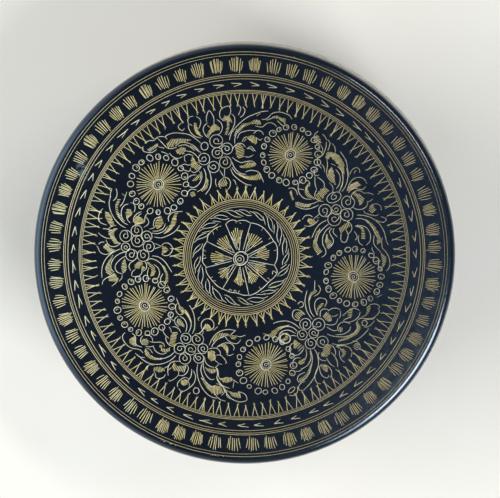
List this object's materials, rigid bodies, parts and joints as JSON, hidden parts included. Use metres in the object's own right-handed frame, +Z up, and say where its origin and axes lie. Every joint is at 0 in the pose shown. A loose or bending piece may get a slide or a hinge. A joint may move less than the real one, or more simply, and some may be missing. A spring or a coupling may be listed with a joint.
{
  "type": "go stone bowl",
  "caption": "Lathe-turned lacquered wooden bowl with a shallow domed lift-off lid, engraved all over with fine floral rings, for holding the stones of a board game.",
  "frame": {"origin": "centre of the circle that the foot ring stands on, at the height of the table", "axes": "+Z up along the turning axis, from the foot to the crown of the lid; the piece is round, so X and Y are free"},
  "size_m": [0.14, 0.14, 0.0856],
  "materials": {
    "black_lacquer": "glossy blue-black lacquer over turned wood",
    "engraved_gold": "dull gold under-layer laid bare by engraving",
    "turned_wood": "satin sealed wood with fine turning marks"
  },
  "bodies": {
    "bowl": {"bowl_body": "black_lacquer"},
    "lid": {"lid": "black_lacquer"}
  },
  "joints": [
    {"name": "lid_lift", "type": "slide", "parent": "bowl", "child": "lid", "axis": [0, 0, 1], "range_m": [0, 0.12]}
  ]
}
